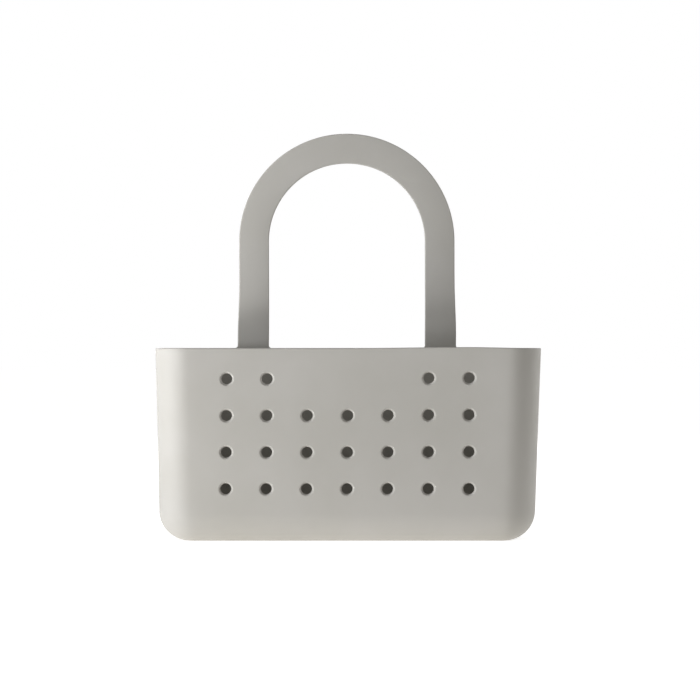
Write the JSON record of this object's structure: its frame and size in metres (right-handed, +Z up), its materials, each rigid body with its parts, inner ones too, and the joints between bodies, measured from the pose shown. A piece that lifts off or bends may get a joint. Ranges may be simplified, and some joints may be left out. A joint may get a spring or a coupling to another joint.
{
  "type": "kitchen sink caddy",
  "caption": "Soft moulded sink caddy: an open tapered tub with rounded corners and drain holes, and a flat arched hanging strap that folds at its roots.",
  "frame": {"origin": "centre of the base, on its underside", "axes": "+Z up through the mouth, +X to the right seen from the wall with the holes, which faces -Y"},
  "size_m": [0.2, 0.075, 0.2154],
  "materials": {
    "silicone": "matte"
  },
  "bodies": {
    "tub": {"tub": "silicone", "left_strap_root": "silicone", "right_strap_root": "silicone"},
    "strap": {"strap_loop": "silicone"}
  },
  "joints": [
    {"name": "strap_fold", "type": "hinge", "parent": "tub", "child": "strap", "pos_m": [0, 0.036, 0.1082], "axis": [1, 0, 0], "range_deg": [-135, 90], "stiffness_Nm_per_rad": 0.02, "deforming": ["left_strap_root", "right_strap_root"]}
  ]
}
